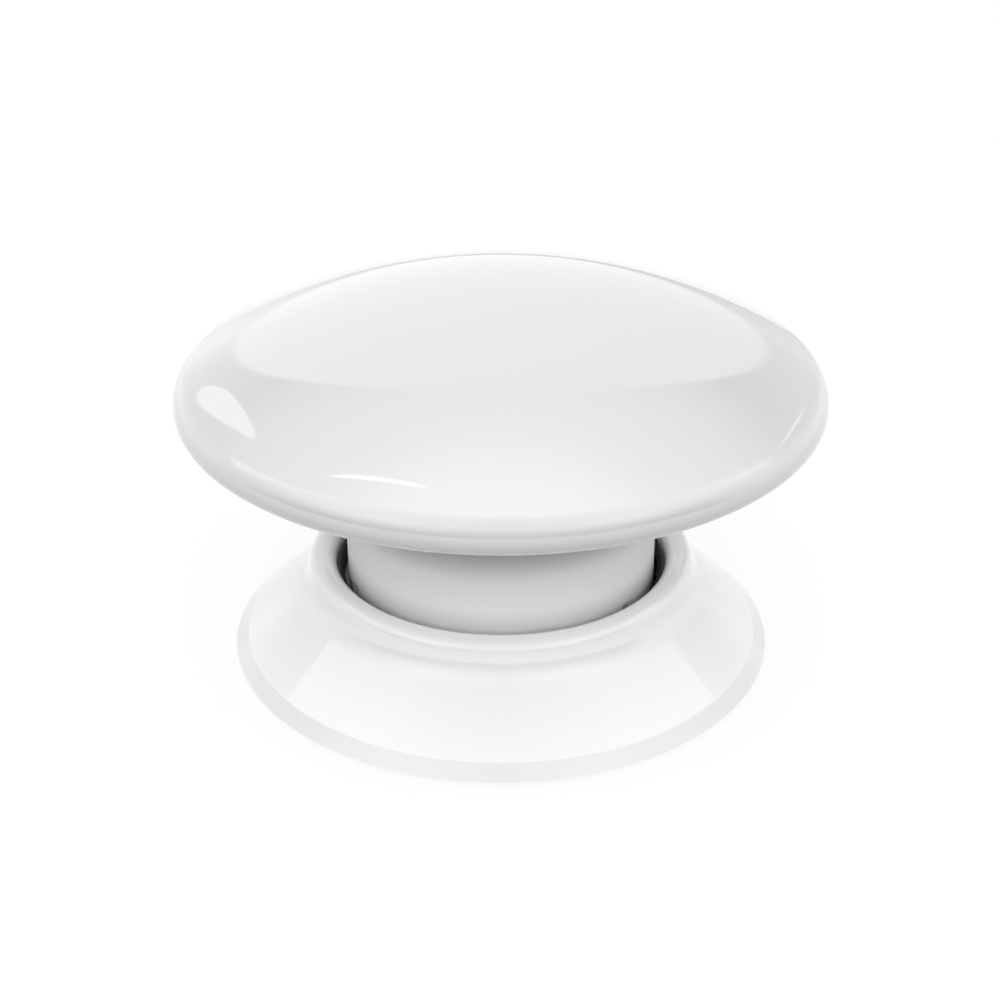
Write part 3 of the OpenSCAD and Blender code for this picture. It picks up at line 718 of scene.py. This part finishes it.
def softbox_light(name, corners, feather, power):
    """Light cloth of a softbox: its strength runs between four corners and fades out at its border.

    The border is where |2u - 1|^power + |2v - 1|^power is 1: an oval for a power of 2, and a
    rounded rectangle for a high one.
    """
    material, tree = blank(name)
    place = node(tree, "ShaderNodeUVMap", uv_map="cloth")
    axes = node(tree, "ShaderNodeSeparateXYZ", links={"Vector": place.outputs["UV"]}).outputs
    reach = []
    for axis in ("X", "Y"):
        off = node(tree, "ShaderNodeMapRange", {"To Min": -1}, {"Value": axes[axis]})
        away = node(tree, "ShaderNodeMath", links={0: off.outputs["Result"]}, operation="ABSOLUTE")
        raised = node(tree, "ShaderNodeMath", {1: power}, {0: away.outputs[0]}, operation="POWER")
        reach.append(raised.outputs[0])
    both = node(tree, "ShaderNodeMath", links={0: reach[0], 1: reach[1]}, operation="ADD")
    radius = node(tree, "ShaderNodeMath", {1: 1 / power}, {0: both.outputs[0]}, operation="POWER")
    fade = node(
        tree, "ShaderNodeMapRange", {"From Min": 1, "From Max": 1 - feather},
        {"Value": radius.outputs[0]}, interpolation_type="SMOOTHSTEP",
    )
    ends = [
        node(
            tree, "ShaderNodeMapRange", {"To Min": left, "To Max": right}, {"Value": axes["X"]},
            name=end,
        ).outputs["Result"]
        for end, (left, right) in zip(("foot", "head"), corners)
    ]
    strength = node(tree, "ShaderNodeMix", links={0: axes["Y"], 2: ends[0], 3: ends[1]})
    glow = node(tree, "ShaderNodeEmission", links={"Strength": strength.outputs[0]})
    clear = node(tree, "ShaderNodeBsdfTransparent")
    mixed = node(
        tree, "ShaderNodeMixShader",
        links={0: fade.outputs["Result"], 1: clear.outputs["BSDF"], 2: glow.outputs["Emission"]},
    )
    node(tree, "ShaderNodeOutputMaterial", links={"Surface": mixed.outputs["Shader"]})
    return material


def softbox(name, foot, head, width, corners, feather, power, mirrored=True):
    """A flat softbox from the middle of its lower edge to the middle of its upper one.

    Its grid is foot + v (head - foot) + (u - 1/2) w(v) across, with across square to its length
    and to the way to the button, and w running from the first width to the second. corners are
    its strengths: left and right at the foot, then at the head, as the button sees them. One that
    isn't mirrored only fills, and doesn't show in the gloss.
    """
    foot, head = np.asarray(foot, float), np.asarray(head, float)
    across = np.cross(head - foot, -(head + foot) / 2)
    across /= np.linalg.norm(across)
    rows = 5
    u, v = np.meshgrid(np.linspace(0, 1, rows), np.linspace(0, 1, rows))
    wide = (u - 0.5) * (width[0] + v * (width[1] - width[0]))
    grid = foot + v[..., None] * (head - foot) + wide[..., None] * across
    faces = quads(np.arange(rows * rows).reshape(rows, rows))
    cloth = softbox_light(name, corners, feather, power)
    made = mesh_object(name, (grid.reshape(-1, 3), faces.tolist()), cloth)
    place = made.data.uv_layers.new(name="cloth")
    corners_uv = np.stack((u, v), axis=2).reshape(-1, 2)[faces.ravel()]
    place.uv.foreach_set("vector", corners_uv.ravel())
    made.visible_camera = False
    made.visible_glossy = mirrored


def tent_cloth(radius):
    """Inside of the light tent: its brightness runs round each ring, and up from ring to ring."""
    material, tree = blank("tent_cloth")
    where = node(tree, "ShaderNodeTexCoord")
    axes = node(tree, "ShaderNodeSeparateXYZ", links={"Vector": where.outputs["Object"]}).outputs
    turned = node(tree, "ShaderNodeMath", links={0: axes["X"], 1: axes["Y"]}, operation="ARCTAN2")
    round_tent = node(
        tree, "ShaderNodeMapRange", {"From Min": -math.pi, "From Max": math.pi},
        {"Value": turned.outputs[0]},
    )
    strength, below = None, 0
    for name, height, steps in TENT:
        ramp = node(
            tree, "ShaderNodeValToRGB", links={"Fac": round_tent.outputs["Result"]}, name=name
        )
        stops = ramp.color_ramp.elements
        while len(stops) <= len(steps):
            stops.new(0.5)
        for k, stop in enumerate(stops):
            stop.position = k / len(steps)
            stop.color = (steps[k % len(steps)],) * 3 + (1,)
        if strength is None:
            strength = ramp.outputs["Color"]
        else:
            rise = node(
                tree, "ShaderNodeMapRange",
                {"From Min": below * radius, "From Max": height * radius}, {"Value": axes["Z"]},
            )
            strength = node(
                tree, "ShaderNodeMix",
                links={0: rise.outputs["Result"], 6: strength, 7: ramp.outputs["Color"]},
                data_type="RGBA",
            ).outputs[2]
        below = height
    glow = node(tree, "ShaderNodeEmission", links={"Strength": strength})
    node(tree, "ShaderNodeOutputMaterial", links={"Surface": glow.outputs["Emission"]})
    return material


def table_top(tone):
    """White table: to the eye it is lit white with the button's shadow, and it throws back less."""
    material, tree = blank("white_table")
    white_level, kept_shadow = 1.01, 0.16
    seen = node(tree, "ShaderNodeBsdfDiffuse", {"Color": (kept_shadow,) * 3 + (1,)})
    lift = node(tree, "ShaderNodeEmission", {"Strength": white_level - kept_shadow})
    white = node(
        tree, "ShaderNodeAddShader", links={0: seen.outputs["BSDF"], 1: lift.outputs["Emission"]}
    )
    bounce = node(tree, "ShaderNodeBsdfDiffuse", {"Color": (*tone, 1)})
    path = node(tree, "ShaderNodeLightPath")
    mirror = node(
        tree, "ShaderNodeMath",
        links={0: path.outputs["Is Camera Ray"], 1: path.outputs["Is Glossy Ray"]},
        operation="MAXIMUM",
    )
    eye = node(
        tree, "ShaderNodeMath",
        links={0: mirror.outputs[0], 1: path.outputs["Is Transmission Ray"]},
        operation="MAXIMUM",
    )
    mixed = node(
        tree, "ShaderNodeMixShader",
        links={0: eye.outputs[0], 1: bounce.outputs["BSDF"], 2: white.outputs["Shader"]},
    )
    node(tree, "ShaderNodeOutputMaterial", links={"Surface": mixed.outputs["Shader"]})
    return material


# Rings of the tent: name, height as a share of its radius, and brightness round it at even steps
# from the camera by the left
TENT = (
    ("table_ring", 0.1, (0, 0, 0, 0, 0.7, 1.15, 1.15, 1.1, 0.55, 0.8, 1.15, 1.15, 1.15, 0, 0, 0)),
    ("middle_ring", 0.55, (0.75, 1.55, 0.8, 0.4, 0.1, 0.15, 0.95, 1.5)),
    ("top_ring", 0.95, (0.75,)),
)

# Softboxes: name, foot and head, widths there in metres, strengths at the corners, feather and
# power; a last False is for a fill, which isn't mirrored
SOFTBOXES = (
    ("window_softbox", (0, WINDOW, -0.018), (0, WINDOW, 0.706), (0.56, 0.56),
     ((1.28, 0.95), (0.7, 0.6)), 0.04, 2),
    ("top_softbox", (0, -0.52, CEILING), (0, 0.3, CEILING), (1.2, 1.2),
     ((0, 0), (2.5, 2.5)), 0.85, 2),
    ("front_fill", aim(180, 4), aim(180, 52), (0.9, 0.9),
     ((0.1, 0.1), (9, 9)), 0.9, 2, False),
    ("left_fill", aim(-85, 44), aim(-85, 80), (0.6, 0.6),
     ((1.75, 1.75), (1.75, 1.75)), 0.9, 2, False),
    ("right_fill", aim(85, 44), aim(85, 80), (0.6, 0.6),
     ((1.65, 1.65), (1.65, 1.65)), 0.9, 2, False),
    ("left_softbox", aim(-68, 28), aim(-119, 56), (0.2, 0.2),
     ((1.3, 1.3), (1.1, 1.1)), 0.08, 8),
    ("right_softbox", aim(68, 28), aim(119, 56), (0.2, 0.2),
     ((1.3, 1.3), (1, 1)), 0.08, 8),
    ("leaf_softbox", aim(-32.9, 16.5), aim(-45.8, 39.8), (0.046, 0.022),
     ((1.25, 1.25), (1.4, 1.4)), 0.1, 2),
    ("left_strip", aim(-55, 55.7), aim(-42.4, 76), (0.011, 0.011),
     ((2.6, 2.6), (2.6, 2.6)), 0.3, 2),
    ("right_strip", aim(49.8, 36.5), aim(36.2, 19.4), (0.006, 0.006),
     ((1.1, 1.1), (1.1, 1.1)), 0.4, 2),
)


class BUTTON_OT_studio(bpy.types.Operator):
    """White table, light tent, softboxes and the camera."""

    bl_idname = "button.studio"
    bl_label = "Studio"

    def execute(self, context):
        studio = context.scene.button_studio
        under = -studio.sheet
        sheet = np.array([(0, 0), (studio.table, 0), (studio.table, under), (0, under)])
        floor = mesh_object("table", disc(sheet, 96), table_top(context.scene.button_colours.floor))
        sphere = arc((0, 0), studio.tent, 90, -90, 32)
        tent = mesh_object("light_tent", disc(sphere, 64), tent_cloth(studio.tent))
        tent.visible_camera = False
        for box in SOFTBOXES:
            softbox(*box)
        world = bpy.data.worlds.new("white_room")
        world.use_nodes = True
        world.node_tree.nodes["Background"].inputs["Color"].default_value = (1, 1, 1, 1)
        context.scene.world = world
        lens = bpy.data.cameras.new("camera")
        lens.lens = studio.focal
        lens.sensor_width = SENSOR
        lens.clip_start = NEAR
        lens.shift_x = studio.shift
        camera = bpy.data.objects.new("camera", lens)
        camera.location = (0, -studio.distance, studio.height)
        camera.rotation_euler = (math.pi / 2 - studio.pitch, 0, 0)
        context.scene.collection.objects.link(camera)
        context.scene.camera = camera
        context.scene.view_settings.view_transform = "Standard"
        return {"FINISHED"}


class BUTTON_PT_panel(bpy.types.Panel):
    """Lists the steps that dress the button."""

    bl_idname = "BUTTON_PT_panel"
    bl_label = "Push button"
    bl_space_type = "VIEW_3D"
    bl_region_type = "UI"
    bl_category = "Button"

    def draw(self, context):
        for step in STEPS:
            self.layout.operator(step.bl_idname)


STEPS = (
    BUTTON_OT_cap,
    BUTTON_OT_neck,
    BUTTON_OT_base,
    BUTTON_OT_pad,
    BUTTON_OT_spring,
    BUTTON_OT_inner_finishes,
    BUTTON_OT_studio,
)
GROUPS = {
    "button_sizes": ButtonSizes,
    "button_colours": ButtonColours,
    "button_studio": StudioSettings,
}


def register():
    """Adds the classes, and the settings to the scene."""
    for cls in (*GROUPS.values(), *STEPS, BUTTON_PT_panel):
        bpy.utils.register_class(cls)
    for name, group in GROUPS.items():
        setattr(bpy.types.Scene, name, bpy.props.PointerProperty(type=group))


def unregister():
    """Takes the settings and the classes away again."""
    for name in GROUPS:
        delattr(bpy.types.Scene, name)
    for cls in (BUTTON_PT_panel, *reversed(STEPS), *GROUPS.values()):
        bpy.utils.unregister_class(cls)


def main():
    register()
    bpy.ops.button.cap()
    bpy.ops.button.neck()
    bpy.ops.button.base()
    bpy.ops.button.pad()
    bpy.ops.button.spring()
    bpy.ops.button.inner_finishes()
    bpy.ops.button.studio()


if __name__ == "__main__":
    main()
